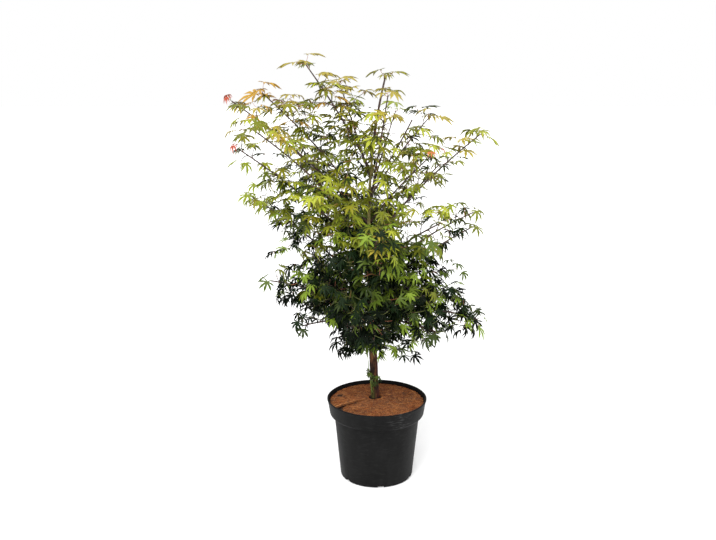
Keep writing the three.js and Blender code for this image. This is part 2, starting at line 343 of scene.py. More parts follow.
def mesh_of_limbs(name, limbs, detail):
    """One mesh of many round limbs, each its points and its radii, with 4 + 2 * detail sides."""
    curve = bpy.data.curves.new(name, "CURVE")
    curve.dimensions = "3D"
    curve.bevel_depth = 1.0
    curve.bevel_resolution = detail
    curve.use_fill_caps = True
    for points, radii in limbs:
        spline = curve.splines.new("POLY")
        spline.points.add(len(points) - 1)
        spline.points.foreach_set("co", [number for point in points for number in (*point, 1.0)])
        spline.points.foreach_set("radius", radii)
    holder = bpy.data.objects.new(name, curve)
    bpy.context.scene.collection.objects.link(holder)
    graph = bpy.context.evaluated_depsgraph_get()
    mesh = bpy.data.meshes.new_from_object(holder.evaluated_get(graph))
    bpy.data.objects.remove(holder)
    bpy.data.curves.remove(curve)
    work = bmesh.new()
    work.from_mesh(mesh)
    bpy.data.meshes.remove(mesh)
    bmesh.ops.remove_doubles(work, verts=work.verts, dist=NEAR)
    return mesh_of_bmesh(name, work, math.radians(60))


def level_way(turn):
    """A level direction."""
    return Vector((math.cos(turn), math.sin(turn), 0))


def clamped(value):
    return min(1.0, max(0.0, value))


# ------------------------------------------------------------------ the frame's limbs and masses

RING_GAP = 0.008        # the trunk's rings are further apart than this, and each is thinner
TIP_SHORT = 0.034       # a stem ends this far inside its mass, so that its last leaves reach the tip
TIP_BACK = {"far_right": 0.006}     # how much further inside some of them end
TIP_DROP = {"skirt_right": 0.03}    # and how much lower
# Leaves also fill the middle of the crown, between the masses. At each height, this middle is so far
# to the left of the trunk and reaches so far out.
CORE = [
    (0.35, 0.01, 0.00),
    (0.375, 0.01, 0.07),
    (0.41, 0.00, 0.11),
    (0.47, 0.00, 0.14),
    (0.56, -0.01, 0.20),
    (0.64, 0.02, 0.18),
    (0.72, 0.05, 0.14),
    (0.86, 0.06, 0.12),
    (0.96, 0.07, 0.09),
    (1.03, 0.06, 0.04),
    (1.08, 0.05, 0.00),
]
# Where daylight shows through the crown from the front. Each opening is beside a mass: its place
# across and up the mass's box, as shares of it, and its radius.
OPENINGS = {
    "leader": [(0.33, 0.50, 0.022)],
    "top_back": [(0.63, 0.88, 0.030)],
    "top_front": [(0.81, 1.00, 0.026)],
    "top_left": [(0.44, 0.44, 0.022), (0.77, 0.78, 0.014)],
    "top_right": [(0.31, 0.67, 0.026), (0.39, 0.97, 0.018), (0.90, 0.76, 0.016), (0.58, 0.86, 0.014)],
    "top_front_right": [(0.65, 0.33, 0.016)],
    "high_left": [(0.45, 0.92, 0.022), (0.00, 0.90, 0.018)],
    "near_left": [(0.25, 0.48, 0.028), (0.54, 0.37, 0.010)],
    "out_left": [(0.24, 0.50, 0.024), (0.36, 0.27, 0.020), (0.49, 0.66, 0.012)],
    "low_left": [
        (0.19, 0.64, 0.024),
        (0.34, 0.35, 0.022),
        (0.61, 0.71, 0.016),
        (0.75, 0.34, 0.019),
        (0.93, 0.12, 0.017),
        (0.90, 0.30, 0.009),
    ],
    "waist_left": [
        (0.17, 1.02, 0.012),
        (0.33, 0.93, 0.022),
        (0.06, 0.61, 0.034),
        (0.55, 1.07, 0.010),
        (0.57, 0.76, 0.009),
    ],
    "back_right": [(0.64, 0.87, 0.018), (0.68, 0.46, 0.035)],
    "mid_right": [(0.43, 0.49, 0.026), (0.94, 0.65, 0.018)],
    "front_right": [(0.35, 0.34, 0.014), (0.46, 0.36, 0.026), (0.69, 0.46, 0.022), (0.57, 0.70, 0.020)],
    "low_right": [(0.62, 0.46, 0.025), (0.40, 0.72, 0.012), (0.84, 0.73, 0.022)],
    "skirt_left": [(0.41, 0.10, 0.022), (-0.06, 0.21, 0.016)],
    "skirt_front_right": [(0.61, -0.23, 0.018)],
    "skirt_right": [(0.82, 0.64, 0.024)],
}


def node_points(name):
    """The places of a node's corners, each once, as an array."""
    mesh = NODES[name].data
    points = np.zeros(len(mesh.vertices) * 3)
    mesh.vertices.foreach_get("co", points)
    return np.unique(points.reshape(-1, 3).round(6), axis=0)


def node_places(name):
    return [Vector(point) for point in node_points(name)]


def trunk_rings():
    """The middle and the radius of each of the trunk's rings, from the foot up."""
    points = node_points("trunk")
    points = points[points[:, 2].argsort()]
    breaks = np.where(np.diff(points[:, 2]) > RING_GAP)[0] + 1
    rings = []
    for ring in np.split(points, breaks):
        middle = ring.mean(axis=0)
        rings.append((Vector(middle), float(np.linalg.norm(ring - middle, axis=1).max())))
    return rings


TRUNK = trunk_rings()
TRUNK_MIDDLES = [middle for middle, _ in TRUNK]


def read_off(height, heights, *columns):
    """The values of several columns at a height."""
    return [float(np.interp(height, heights, column)) for column in columns]


def trunk_at(height):
    """The trunk's middle and radius at a height."""
    across, back, heights = zip(*TRUNK_MIDDLES)
    x, y, radius = read_off(height, heights, across, back, [radius for _, radius in TRUNK])
    return Vector((x, y, height)), radius


def core_at(height):
    """The crown's middle at a height, and how far it reaches out."""
    lean, reach = read_off(height, *zip(*CORE))
    return trunk_at(height)[0] - Vector((lean, 0, 0)), reach


class Line:
    """A limb's middle line, which tells the place and the direction at some distance along it."""

    def __init__(self, points):
        self.points = points
        self.marks = [0.0]
        for start, end in zip(points, points[1:]):
            self.marks.append(self.marks[-1] + (end - start).length)
        self.length = self.marks[-1]

    def at(self, distance):
        last = len(self.points) - 2
        index = 0
        while index < last and self.marks[index + 1] < distance:
            index += 1
        start, end = self.points[index], self.points[index + 1]
        share = (distance - self.marks[index]) / (self.marks[index + 1] - self.marks[index])
        return start.lerp(end, clamped(share)), (end - start).normalized()


def line_through(start, entry, tip, steps=30):
    """A smooth line from a start through an entry to a tip."""
    share = (entry - start).length / ((entry - start).length + (tip - entry).length)
    points = []
    for index in range(steps + 1):
        t = index / steps
        of_start = (t - share) * (t - 1) / share
        of_entry = t * (t - 1) / (share * (share - 1))
        of_tip = t * (t - share) / (1 - share)
        points.append(start * of_start + entry * of_entry + tip * of_tip)
    return Line(points)


def bough_ends(name):
    """A bough's start on the trunk's middle, the middle of its far end, and that end's radius."""
    places = node_places(name)
    near = min(places, key=lambda place: (place - trunk_at(place.z)[0]).length)
    far = max(places, key=lambda place: (place - near).length)
    ring = [place for place in places if (place - near).length > (far - near).length - 0.002]
    middle = sum(ring, Vector()) / len(ring)
    outward = (middle - near).normalized()
    foot = trunk_at(near.z - outward.z * 0.012)[0]
    return foot, middle, max((place - middle).length for place in ring)


def shoot_line(name):
    """The middle line of a shoot, from the trunk to near the tip of its mass."""
    foot, entry, _ = bough_ends("bough_" + name)
    tip = max(node_places("leaves_" + name), key=lambda place: (place - entry).length)
    back = (entry - tip).normalized() * (TIP_SHORT + TIP_BACK.get(name, 0.0))
    return line_through(foot, entry, tip + back - UP * TIP_DROP.get(name, 0.0))


def leader_line():
    """The trunk's own tip, which runs on through the topmost mass."""
    tip = max(node_places("leaves_" + LEADER), key=lambda place: place.z)
    return line_through(TRUNK_MIDDLES[-3], TRUNK_MIDDLES[-1], tip - UP * TIP_SHORT)


class Mass:
    """One mass of leaves, which tells how deep a place lies in it."""

    SKEW = Vector((0.31, 0.17, 0.935)).normalized()

    def __init__(self, name):
        mesh = NODES[name].data
        places = [corner.co for corner in mesh.vertices]
        self.skin = BVHTree.FromPolygons(places, [tuple(face.vertices) for face in mesh.polygons])
        self.low, self.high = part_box(name)

    def holds(self, place):
        """Whether a place is inside: a line from it leaves the skin an odd number of times."""
        if any(not self.low[axis] < place[axis] < self.high[axis] for axis in range(3)):
            return False
        crossings = 0
        hit = self.skin.ray_cast(place, self.SKEW)[0]
        while hit is not None:
            crossings += 1
            hit = self.skin.ray_cast(hit + self.SKEW * NEAR, self.SKEW)[0]
        return crossings % 2 == 1

    def depth(self, place):
        """How far inside a place is, or, less than nought, how far outside."""
        distance = self.skin.find_nearest(place)[3]
        return distance if self.holds(place) else -distance


def in_box(mass, *shares):
    """A place that is given by shares of a mass's box: across, back and up."""
    low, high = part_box("leaves_" + mass)
    return Vector([start + (end - start) * share for start, end, share in zip(low, high, shares)])


class Room:
    """The space for twigs and leaves: the masses, and the core of the crown round the trunk, less
    the openings."""

    def __init__(self):
        self.masses = {name: Mass(name) for name in MASSES}
        self.openings = []
        for mass, spots in OPENINGS.items():
            self.openings += [(in_box(mass, aside, 0.5, up), radius) for aside, up, radius in spots]

    def in_opening(self, place):
        """Whether a place is in the line of sight from the camera to an opening."""
        seen = EYE + (place - EYE) * (EYE.y / (EYE.y - place.y))
        return any(math.hypot(seen.x - at.x, seen.z - at.z) < radius for at, radius in self.openings)

    @staticmethod
    def core_depth(place):
        """How far inside the middle of the crown a place is."""
        if not CORE[0][0] < place.z < CORE[-1][0]:
            return -1.0
        middle, reach = core_at(place.z)
        return reach - (place - middle).length

    def depth_in_masses(self, place):
        return max(mass.depth(place) for mass in self.masses.values())

    def depth(self, place):
        return max(self.core_depth(place), self.depth_in_masses(place))


# ------------------------------------------------------------------ leaves

SINUS = 0.25        # how far from the stalk the notches between lobes are, as a share of the lobes
# Along a lobe, as shares of its length: where its midrib bends, and where the corners of its edge
# are, each with its share of the lobe's width.
LOBE_RIB = (0.36, 0.60)
LOBE_EDGE = ((0.44, 0.84), (0.57, 1.0), (0.78, 0.48))
SEVEN_LOBES = ((0, 37, 76, 118), (1.0, 0.94, 0.72, 0.38))       # turns in degrees, and lengths
FIVE_LOBES = ((0, 40, 84), (1.0, 0.9, 0.6))
OUTER_TURN = math.radians(34)       # from an outermost lobe's midrib to its edge by the stalk

# Each tint's colour, and how much its leaves gleam. Besides the leaves' own greens, golds and reds, the
# tints hold
# painted light: shade, bottle and pine are darker copies of the greens, painted shade for leaves in the
# crown's shadow, and spring, fresh and lime are lighter copies, painted highlights.
TINTS = {
    "lime": (srgb(154, 160, 44), 0.25),
    "khaki": (srgb(154, 140, 50), 0.25),
    "gold": (srgb(172, 134, 44), 0.25),
    "olive": (srgb(124, 122, 26), 0.25),
    "moss": (srgb(105, 111, 23), 0.25),
    "fresh": (srgb(130, 142, 34), 0.25),
    "grass": (srgb(82, 92, 19), 0.22),
    "deep": (srgb(47, 55, 12), 0.16),
    "spring": (srgb(116, 138, 40), 0.22),
    "fern": (srgb(73, 90, 24), 0.2),
    "pine": (srgb(41, 54, 14), 0.15),
    "bottle": (srgb(18, 33, 12), 0.1),
    "shade": (srgb(8, 15, 6), 0.05),
    "rust": (srgb(142, 88, 34), 0.25),
    "salmon": (srgb(190, 108, 62), 0.2),
    "coral": (srgb(168, 76, 54), 0.2),
}
# The share of each tint at a height, as a share of the crown's height. Dark tints low down are partly the
# older leaves' own colour and partly painted shade under the crown; light tints high up are partly painted
# highlight and painted light shining through the leaves.
TINTS_BY_HEIGHT = [
    (0.00, dict(shade=7, bottle=4, pine=1.2, fern=1.0, spring=0.5)),
    (0.18, dict(shade=7, bottle=3.8, pine=1.4, fern=1.3, moss=0.2, spring=1.2)),
    (0.30, dict(shade=3.4, bottle=3.0, pine=2.0, fern=2.0, moss=0.6, spring=2.6, fresh=0.4)),
    (0.43, dict(bottle=2.0, deep=1.2, pine=1.2, fern=0.8, moss=2.6, olive=1.8, spring=1.2, fresh=2.0,
                lime=0.2)),
    (0.56, dict(bottle=0.6, deep=2, grass=0.8, moss=3, olive=2, khaki=0.4, lime=1.2, fresh=2.6)),
    (0.68, dict(deep=1.4, moss=2.4, olive=2.8, khaki=1.2, lime=2, fresh=1.6)),
    (0.81, dict(deep=0.6, moss=1.2, olive=2.6, khaki=2.8, lime=2.4, fresh=0.6, gold=0.4, rust=0.1)),
    (1.00, dict(moss=1.2, olive=2, khaki=3, lime=2.4, gold=0.3)),
]
WARM_ABOVE = 0.64       # a share of the crown's height
WARM_TINTS = ("gold", "khaki", "rust", "khaki", "gold")
WARM_SHARE = {"far_left": 0.35, "high_left": 0.3, "out_left": 0.25, "near_left": 0.12, "top_left": 0.1}
LIKE_SPRAY = 0.65       # the share of a spray's leaves that have its own tint
TIP_TINTS = {
    "far_left": "coral",
    "out_left": "coral",
    "top_front_right": "salmon",
    "high_left": "gold",
    "top_left": "khaki",
    "leader": "olive",
    "top_right": "khaki",
    "far_right": "lime",
    "skirt_right": "spring",
    "mid_right": "moss",
}
STALK_COLOURS = {"pink": srgb(146, 88, 62), "green": srgb(98, 104, 44)}


class LeafShape:
    """A palm-shaped leaf of long lobes. Its stalk is at the origin, and its middle lobe runs along x
    for one metre. The lobes arch down, and each is folded up along its midrib."""

    def __init__(self, rng, turns, lengths, arch, fold, width):
        self.corners = [(0.0, 0.0, 0.0)]
        self.faces = []
        lobes = self.lobes(rng, turns, lengths)
        notches = [self.outer_notch(*lobes[0], -1)]
        for (turn, length), (next_turn, next_length) in zip(lobes, lobes[1:]):
            notches.append(self.polar((turn + next_turn) / 2, SINUS * min(length, next_length) * 1.05))
        notches.append(self.outer_notch(*lobes[-1], 1))
        for (turn, length), right, left in zip(lobes, notches, notches[1:]):
            self.add_lobe(turn, length, right, left, width * rng.uniform(0.9, 1.1))
        flat = np.array(self.corners)
        reach = np.hypot(flat[:, 0], flat[:, 1])
        flat[:, 2] = flat[:, 2] * fold - arch * reach ** 2.4
        flat[:, :2] *= (1 - 0.3 * arch * reach ** 2)[:, None]
        self.corners = flat
        self.faces = np.array(self.faces)

    @staticmethod
    def lobes(rng, turns, lengths):
        """The lobes from one side to the other, each its turn and its length."""
        found = []
        for turn, length in zip(turns, lengths):
            for side in (-1, 1) if turn else (1,):
                angle = math.radians(side * turn + rng.uniform(-4, 4))
                found.append((angle, length * rng.uniform(0.92, 1.06)))
        return sorted(found)

    @staticmethod
    def polar(turn, reach, lift=0.0):
        return (math.cos(turn) * reach, math.sin(turn) * reach, lift)

    def outer_notch(self, turn, length, side):
        """The corner that closes an outermost lobe towards the stalk."""
        return self.polar(turn + side * OUTER_TURN, length * 0.2)

    def corner(self, place):
        self.corners.append(place)
        return len(self.corners) - 1

    def add_lobe(self, turn, length, right_notch, left_notch, width):
        ribs = [self.corner(self.polar(turn, length * t, -0.3 * width * length)) for t in LOBE_RIB]
        tip = self.corner(self.polar(turn, length))
        for side, notch in ((-1, right_notch), (1, left_notch)):
            start = self.corner(notch)
            edge = []
            for along, share in LOBE_EDGE:
                out = share * width * length * side
                x = math.cos(turn) * along * length - math.sin(turn) * out
                y = math.sin(turn) * along * length + math.cos(turn) * out
                edge.append(self.corner((x, y, 0.5 * share * width * length)))
            strip = [(0, ribs[0], start), (ribs[0], edge[0], start), (ribs[0], ribs[1], edge[0])]
            strip += [(ribs[1], edge[1], edge[0]), (ribs[1], edge[2], edge[1]), (ribs[1], tip, edge[2])]
            self.faces += [face if side > 0 else face[::-1] for face in strip]


def leaf_shapes():
    """Several leaves of each habit, so that no two neighbours are alike."""
    rng = random.Random("leaf shapes")
    shapes = {"spread": [], "open": [], "hanging": [], "young": []}
    for _ in range(5):
        turns, lengths = SEVEN_LOBES if rng.random() < 0.75 else FIVE_LOBES
        closed = tuple(turn * 0.85 for turn in turns)
        narrow = tuple(turn * 0.8 for turn in FIVE_LOBES[0])
        for habit, outline, arch, fold, width in (
            ("spread", (turns, lengths), (0.1, 0.3), 0.8, 0.112),
            ("open", (turns, lengths), (0.2, 0.6), 0.9, 0.104),
            ("hanging", (closed, lengths), (0.15, 0.6), 1.1, 0.11),
            ("young", (narrow, lengths[:3]), (0.5, 0.9), 1.5, 0.12),
        ):
            shapes[habit].append(LeafShape(rng, *outline, rng.uniform(*arch), fold, width))
    return shapes


class Foliage:
    """The plant's leaves, stalks and twigs as they grow, before they become pieces."""

    def __init__(self):
        self.shapes = leaf_shapes()
        self.leaves = {tint: [] for tint in TINTS}
        self.stalks = {hue: [] for hue in STALK_COLOURS}
        self.twigs = []
        self.shoots = []
        self.suckers = []

    def add_leaf(self, tint, shape, joint, blade, normal, length):
        """A leaf whose middle lobe runs along the blade's direction from its joint with the stalk."""
        across = normal.cross(blade).normalized()
        turned = Matrix((blade, across, blade.cross(across))).transposed()
        self.leaves[tint].append((shape, np.array(turned) * length, np.array(joint)))

    def leaf_mesh(self, tint):
        corners, faces, count = [], [], 0
        for shape, turned, joint in self.leaves[tint]:
            corners.append(shape.corners @ turned.T + joint)
            faces.append(shape.faces + count)
            count += len(shape.corners)
        return mesh_of_triangles("leaves_" + tint, corners, faces)


# ------------------------------------------------------------------ growth

CROWN_LOW = min(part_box(name)[0].z for name in MASSES)
CROWN_HIGH = max(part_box(name)[1].z for name in MASSES)
HIGH = 0.6              # above this share of the crown's height, the tips' leaves spread sideways
HANGING_BELOW = 0.36    # up to this share of the crown's height, most leaves hang
BARE_ABOVE = 0.70       # above this height, the front of the stem stays bare of twigs
GIRTH = 1.45            # a shoot is thicker than its solid, which is measured at its thin end
INSET = 0.018           # twigs end at least so far inside a mass
TRIES = 1500            # places tried in each mass
SHORTEST_TWIG = 0.025
TWIG_STEP = 0.012
TWIG_WOBBLE = 0.0008
THICKEST_TWIG = 0.0013
THINNEST_TWIG = 0.0005
STEM_WIDEST = 0.0115    # the stem's radius is nowhere more than this
STEM_GIRTH = 0.0018     # how thick the stem counts as, for a twig that starts on it
STEM_NODES = [0.40 + 0.012 * index for index in range(45)]      # heights where twigs may leave it
LOW_NODES = [0.42 + 0.01 * index for index in range(12)]
BARE_HALF = 0.03        # half the width of the stem's bare front
CORE_INSET = 0.012      # core twigs end so far inside the core, and at most
CORE_OVERLAP = 0.01     # so far inside a mass
LENGTH_SPREAD = 0.004   # how much the leaves differ in length
LOW_HANGING = 0.7       # the share of low leaves that hang
STALK_LENGTH = (0.017, 0.030)
STALK_RADII = [0.0007, 0.0005, 0.0005]

# Measures that change with height, each low, half way up and high in the crown.
PROUD = (0.009, 0.020, 0.038)       # how far outside a mass a leaf's tip may stand
TWIG_GAP = (0.033, 0.034, 0.036)
CORE_GAP = (0.039, 0.045, 0.052)
LEAF_GAP = (0.021, 0.026, 0.033)        # between the pairs along a twig
SHOOT_LEAF_GAP = (0.030, 0.034, 0.034)
LEAF_LENGTH = (0.034, 0.036, 0.041)
STALK_LIFT = (0.0, 0.15, 0.3)
DROOP = (38, 21, 4)                 # degrees
DROOP_SPREAD = (30, 16, 9)
ROLL = (30, 15, 9)
PINK_STALKS = (0.0, 0.4, 0.8)       # the share of stalks that are pink

YOUNG_TIPS = ("far_left", "out_left", "top_front_right")
LEVEL_TIPS = ("skirt_right",)       # low tips whose leaves spread sideways all the same
BAND_OF = {"skirt_right": (0.0, 0.56), "skirt_left": (0.49, 2.0)}       # twigs end between two heights
# How much further apart the twigs of some masses are, or less than 1 where they are closer.
TWIG_GAP_OF = {
    "low_right": 1.3,
    "mid_right": 1.6,
    "back_right": 1.25,
    "front_right": 1.2,
    "top_left": 0.7,
    "top_back": 0.78,
    "top_front": 0.9,
    "top_right": 0.76,
    "top_front_right": 0.85,
    "high_left": 0.68,
    "far_left": 0.68,
    "out_left": 0.68,
    "low_left": 0.6,
    "near_left": 0.9,
    "waist_left": 1.1,
    "skirt_left": 0.8,
    "skirt_front": 0.9,
    "top_back_right": 1.1,
    "back": 0.95,
}
# Sprays that some shoots need in certain places: across, back and up, as shares of the mass's box.
OUTER_SPRAYS = {
    "far_left": [
        (0.30, 0.50, 0.78), (0.17, 0.48, 0.75), (0.27, 0.28, 0.62), (0.20, 0.60, 0.50),
        (0.40, 0.50, 0.66), (0.55, 0.40, 0.45),
    ],
    "out_left": [
        (0.14, 0.46, 0.96), (0.20, 0.65, 0.84), (0.14, 0.27, 0.72), (0.65, 0.50, 0.26),
        (0.52, 0.40, 0.42), (0.50, 0.60, 0.50), (0.29, 0.50, 0.21), (0.67, 0.50, 0.42),
        (0.68, 0.40, 0.22), (0.60, 0.40, 0.50), (0.75, 0.50, 0.38),
    ],
    "high_left": [
        (0.15, 0.43, 0.78), (0.54, 0.34, 0.70), (0.37, 0.50, 0.47), (0.62, 0.50, 0.52),
        (0.45, 0.70, 0.82), (0.47, 0.50, 0.69), (0.42, 0.20, 0.74), (0.55, 0.85, 0.62),
        (0.70, 0.50, 0.47),
    ],
    "top_left": [
        (0.11, 0.47, 0.46), (0.22, 0.77, 0.34), (0.16, 0.90, 0.20), (0.45, 0.50, 0.66),
        (0.74, 0.60, 0.33), (0.52, 0.50, 0.63), (0.48, 0.25, 0.70), (0.56, 0.75, 0.58),
    ],
    "top_back": [
        (0.37, 0.50, 0.52), (0.25, 0.60, 0.30), (0.41, 0.50, 0.60), (0.71, 0.50, 0.76),
        (0.47, 0.50, 0.78), (0.38, 0.25, 0.62), (0.30, 0.60, 0.58),
    ],
    "top_right": [(0.66, 0.40, 0.92), (0.85, 0.60, 0.55)],
    "top_front_right": [(0.69, 0.40, 0.77), (0.78, 0.60, 0.84)],
    "far_right": [(0.69, 0.50, 0.78)],
    "mid_right": [(0.35, 0.40, 0.71), (0.60, 0.60, 0.84), (0.34, 0.50, 0.72), (0.28, 0.30, 0.60)],
    "front_right": [(0.43, 0.30, 0.60), (0.80, 0.50, 0.85)],
    "low_right": [(0.44, 0.40, 0.13), (0.67, 0.50, 0.05)],
    "low_left": [
        (0.45, 0.28, 0.82), (0.47, 0.53, 0.46), (0.52, 0.40, 0.19), (0.20, 0.50, 0.84),
        (0.40, 0.60, 0.62), (0.60, 0.30, 0.55), (0.53, 0.50, 0.09), (0.35, 0.50, 0.09),
        (0.36, 0.50, 0.62), (0.42, 0.40, 0.56), (0.31, 0.50, 0.76), (0.42, 0.50, 0.72),
        (0.24, 0.60, 0.72),
    ],
    "skirt_right": [
        (0.74, 0.45, 0.36), (0.66, 0.33, 0.24), (0.60, 0.60, 0.70), (0.62, 0.40, 0.23),
        (0.74, 0.50, 0.16), (0.82, 0.50, 0.20),
    ],
}
# Sprays that hang lowest round the stem: a height above the masses, a turn about the stem in
# degrees, a reach and a tint.
LOW_SPRAYS = [
    (-0.002, -62, 0.085, "spring"),
    (-0.012, -52, 0.092, "spring"),
    (0.000, -42, 0.090, "fern"),
    (0.014, -74, 0.100, "spring"),
    (0.022, -88, 0.098, "fern"),
    (-0.016, -30, 0.120, "shade"),
    (0.004, -125, 0.085, "bottle"),
    (0.018, -142, 0.110, "shade"),
]
# Small leaves at the foot of the stem: a height, a turn about the stem in degrees, a length and a
# tint. Then the sucker's bends: a height, a turn and how far out from the bark.
SPRIGS = [
    (0.306, 184, 0.019, "pine"),
    (0.303, 198, 0.020, "fern"),
    (0.297, 212, 0.017, "pine"),
    (0.299, 236, 0.018, "fern"),
    (0.293, 262, 0.019, "pine"),
    (0.291, 300, 0.018, "fern"),
    (0.285, 326, 0.019, "bottle"),
    (0.283, 346, 0.017, "pine"),
    (0.281, 250, 0.017, "fern"),
    (0.275, 280, 0.018, "pine"),
    (0.267, 262, 0.016, "fern"),
]
SUCKER = [
    (0.236, 232, 0.0002),
    (0.262, 222, 0.002),
    (0.300, 200, 0.0035),
    (0.345, 190, 0.004),
    (0.395, 184, 0.006),
]


def rise_of(place):
    """A place's height as a share of the crown's."""
    return clamped((place.z - CROWN_LOW) / (CROWN_HIGH - CROWN_LOW))


def by_rise(rise, low, middle, high):
    """A measure that goes from its value low in the crown to those half way up and at the top."""
    return low + (middle - low) * rise * 2 if rise < 0.5 else middle + (high - middle) * (rise * 2 - 1)


def square_to(limb, turn):
    """A direction square to a limb: level, and then turned about the limb."""
    level = limb.cross(UP)
    if level.length < 0.05:
        level = Vector((1, 0, 0))
    return Quaternion(limb, turn) @ level.normalized()


def drooping(level, droop):
    """A level direction and its upward normal, both turned down by an angle."""
    blade = level * math.cos(droop) - UP * math.sin(droop)
    return blade, UP * math.cos(droop) + level * math.sin(droop)


class Grower:
    """The seeded rule that fills one mass. Twigs grow from the shoot, or from each other, to places
    spread through the mass, and carry pairs of leaves."""

    def __init__(self, name, line, foliage, room):
        self.name = name
        self.line = line
        self.foliage = foliage
        self.room = room
        self.rng = random.Random("maple " + name)
        self.hues = random.Random("tints " + name)
        self.stems = []

    def tint(self, place):
        """A tint for a spray of leaves at a place."""
        if self.hues.random() < WARM_SHARE.get(self.name, 0.0) and rise_of(place) > WARM_ABOVE:
            return self.hues.choice(WARM_TINTS)
        rise = rise_of(place) + self.hues.gauss(0, 0.04)
        for (low, below), (high, above) in zip(TINTS_BY_HEIGHT, TINTS_BY_HEIGHT[1:]):
            if rise <= high or high == 1.0:
                share = clamped((rise - low) / (high - low))
                break
        names = sorted(set(below) | set(above))
        weights = [below.get(n, 0) * (1 - share) + above.get(n, 0) * share for n in names]
        return self.hues.choices(names, weights)[0]

    def leaf(self, node, limb, side, tint, size=1.0, stalk=1.0, habit="open", sure=False):
        """A leaf on its stalk. It grows out to one side of a limb and spreads nearly level. A leaf
        that isn't sure is left out where it stands too proud of the masses or in an opening."""
        rng = self.rng
        rise = rise_of(node)
        length = rng.gauss(by_rise(rise, *LEAF_LENGTH), LENGTH_SPREAD) * size
        stem = rng.uniform(*STALK_LENGTH) * stalk
        out = (side * 0.8 + limb * 0.45 + UP * by_rise(rise, *STALK_LIFT)).normalized()
        joint = node + out * stem
        if habit == "open" and rise < HANGING_BELOW and rng.random() < LOW_HANGING:
            habit = "hanging"
        elif habit == "open" and rng.random() < (rise - HANGING_BELOW):
            habit = "spread"
        shape = rng.choice(self.foliage.shapes[habit])
        level = Vector((out.x, out.y, 0)) + Vector((rng.gauss(0, 0.2), rng.gauss(0, 0.2), 0))
        if level.length < 0.1:
            level = Vector((side.x, side.y, 0)) + Vector((limb.x, limb.y, 0)) * 0.5
        level.normalize()
        droop = math.radians(rng.gauss(by_rise(rise, *DROOP), by_rise(rise, *DROOP_SPREAD)))
        blade, normal = drooping(level, droop)
        normal = Quaternion(blade, math.radians(rng.gauss(0, by_rise(rise, *ROLL)))) @ normal
        tip = joint + (blade * 0.95 - normal * 0.2) * length
        if not sure and self.room.depth(tip) < -by_rise(rise, *PROUD):
            return
        if not sure and any(self.room.in_opening(place) for place in (tip, joint + blade * 0.45 * length)):
            return
        self.foliage.add_leaf(tint, shape, joint, blade, normal, length)
        bend = joint.lerp(node, 0.5) - UP * 0.001 + side * 0.001
        hue = "pink" if rng.random() < by_rise(rise, *PINK_STALKS) else "green"
        self.foliage.stalks[hue].append(([node, bend, joint], STALK_RADII))

    def pair(self, node, limb, turn, tint, **kind):
        """Two leaves on opposite sides of a limb."""
        for side in (square_to(limb, turn), -square_to(limb, turn)):
            self.leaf(node, limb, side, tint, **kind)

    def leaf_pairs(self, line, first, gap, tint, **kind):
        """Pairs of leaves along a limb, each square to the one before."""
        rng = self.rng
        turn = rng.choice((0.0, math.pi / 2))
        distance = first
        while distance < line.length - gap * 0.4:
            node, limb = line.at(distance)
            like_spray = tint and self.hues.random() < LIKE_SPRAY
            own = tint if like_spray else self.tint(node)
            self.pair(node, limb, turn + rng.gauss(0, 0.2), own, **kind)
            turn += math.pi / 2
            distance += gap * rng.uniform(0.75, 1.25)

    def mark_stem(self, points, radii):
        """Lets later twigs start from a limb's points."""
        for index in range(1, len(points)):
            way = (points[index] - points[index - 1]).normalized()
            self.stems.append((points[index], way, radii[index]))

    def twig_to(self, target, tint=None, **kind):
        """A leafy twig from the stem that best reaches a target. Where a stem is already there, it
        gets a pair of leaves if they are sure."""
        rng = self.rng

        def effort(stem):
            reach = target - stem[0]
            turn = reach.normalized().dot(stem[1])
            return reach.length * (1.6 - turn) if turn < 0.5 else reach.length

        start, limb, radius = min(self.stems, key=effort)
        reach = (target - start).length
        if reach < SHORTEST_TWIG:
            if kind.get("sure"):
                self.pair(start, limb, 0.0, tint or self.tint(target), **kind)
            return
        knee = start + (limb * 0.55 + (target - start).normalized() * 0.45) * reach * 0.5
        count = max(3, int(reach / TWIG_STEP))
        points = []
        for index in range(count + 1):
            t = index / count
            wobble = Vector([rng.gauss(0, TWIG_WOBBLE) for _ in range(3)]) * (index > 0)
            points.append(start * (1 - t) ** 2 + knee * 2 * t * (1 - t) + target * t ** 2 + wobble)
        thick = min(radius * 0.75, THICKEST_TWIG)
        thin = max(thick * 0.6, THINNEST_TWIG)
        radii = [thick + (thin - thick) * index / count for index in range(count + 1)]
        self.foliage.twigs.append((points, radii))
        self.mark_stem(points, radii)
        line = Line(points)
        tint = tint or self.tint(target)
        gap = by_rise(rise_of(target), *LEAF_GAP)
        self.leaf_pairs(line, gap * 0.8, gap, tint, **kind)
        end, way = line.at(line.length)
        self.pair(end, way, 0.0, tint, stalk=0.9, **kind)

    def targets(self, gap, inside, low, high):
        """Places in a box that lie inside, at least a gap apart."""
        found = []
        for _ in range(TRIES):
            place = Vector([self.rng.uniform(low[axis], high[axis]) for axis in range(3)])
            if inside(place) and all((place - other).length > gap for other in found):
                found.append(place)
        return found

    def fill(self, gap, inside, low, high):
        """Twigs to places all through a space, the nearest first."""
        axis = self.line.points
        found = self.targets(gap, inside, low, high)
        for target in sorted(found, key=lambda place: min((place - point).length for point in axis)):
            self.twig_to(target)

    def grow_shoot(self, first, girth):
        """The shoot itself, its leaves, and the twigs that fill its mass."""
        line = self.line
        count = len(line.points) - 1
        radii = [girth * (1 - 0.45 * index / count) for index in range(count + 1)]
        self.foliage.shoots.append((line.points, radii))
        self.mark_stem(line.points, radii)
        rise = rise_of(line.at(line.length * 0.6)[0])
        self.leaf_pairs(line, first, by_rise(rise, *SHOOT_LEAF_GAP), None)
        mass = self.room.masses["leaves_" + self.name]
        lowest, highest = BAND_OF.get(self.name, (0.0, 2.0))

        def inside(place):
            return lowest < place.z < highest and mass.depth(place) > INSET

